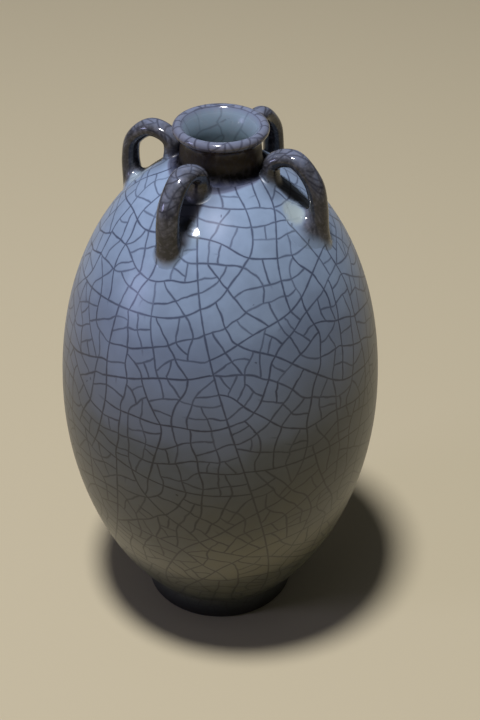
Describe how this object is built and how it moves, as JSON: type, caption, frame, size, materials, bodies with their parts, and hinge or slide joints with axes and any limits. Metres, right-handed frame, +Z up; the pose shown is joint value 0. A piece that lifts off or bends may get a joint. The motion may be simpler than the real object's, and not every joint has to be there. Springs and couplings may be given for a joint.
{
  "type": "lugged jar",
  "caption": "Ovoid crackle-glazed jar with a narrow rolled-lip neck, loop lugs on the shoulder and a foot ring.",
  "frame": {"origin": "centre of the circle that the foot ring stands on", "axes": "+Z up along the jar's axis, -Y towards the front lug, +X towards the right lug"},
  "size_m": [0.086, 0.086, 0.1478],
  "materials": {
    "crackle_glaze": "glossy pale blue-grey glaze with a net of dark crackle lines",
    "thin_glaze": "glossy glaze worn thin over dark clay, brown-grey with fine crackle",
    "foot_glaze": "glossy grey-green glaze over dark clay, wiped bare where it stands"
  },
  "bodies": {
    "root": {"body": "crackle_glaze", "neck_collar": "thin_glaze", "foot_ring": "foot_glaze", "lug_front": "thin_glaze", "lug_right": "thin_glaze", "lug_rear": "thin_glaze", "lug_left": "thin_glaze"}
  },
  "joints": []
}
